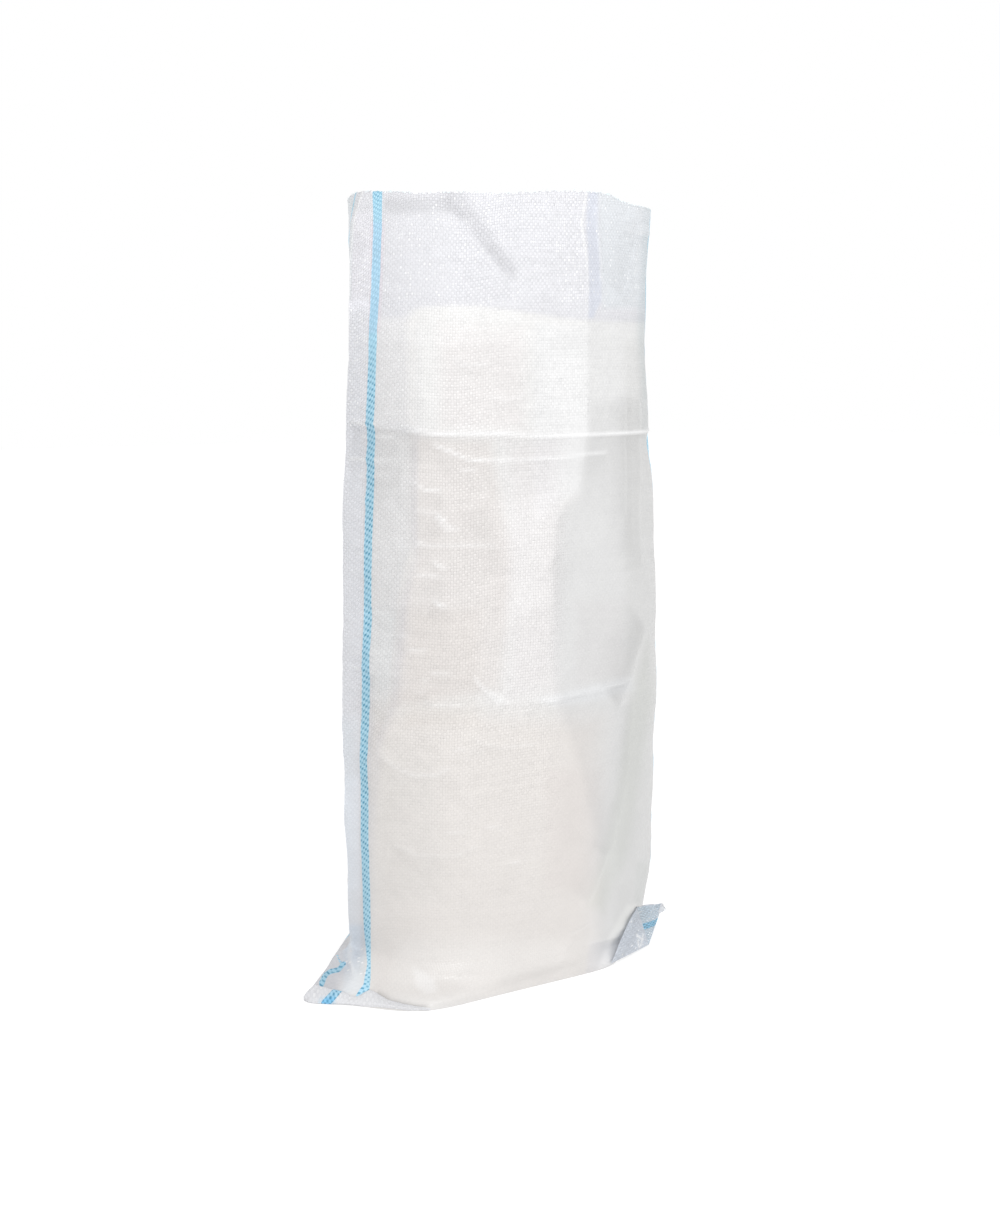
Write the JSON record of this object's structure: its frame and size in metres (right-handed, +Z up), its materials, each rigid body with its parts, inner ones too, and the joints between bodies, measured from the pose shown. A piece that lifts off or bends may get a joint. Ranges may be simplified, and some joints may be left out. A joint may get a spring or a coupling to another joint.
{
  "type": "filled woven polypropylene sack",
  "caption": "Open woven plastic sack filled with cement, standing upright on its hemmed bottom with flared corner ears and an empty cut mouth above the fill.",
  "frame": {"origin": "middle of the base's bounding box, on the floor", "axes": "+Z up along the standing sack; +X from the left ear to the right ear, the way the sack is wide when it lies flat; -Y is the front cloth"},
  "size_m": [0.48, 0.2624, 0.7759],
  "materials": {
    "woven_polypropylene": "white woven polypropylene tape cloth with light blue woven stripes, satin",
    "cement": "dry pale powder, matt",
    "sewing_thread": "twisted white thread, matt"
  },
  "bodies": {
    "root": {"woven_sack": "woven_polypropylene", "cement_fill": "cement", "hem_thread": "sewing_thread"}
  },
  "joints": []
}
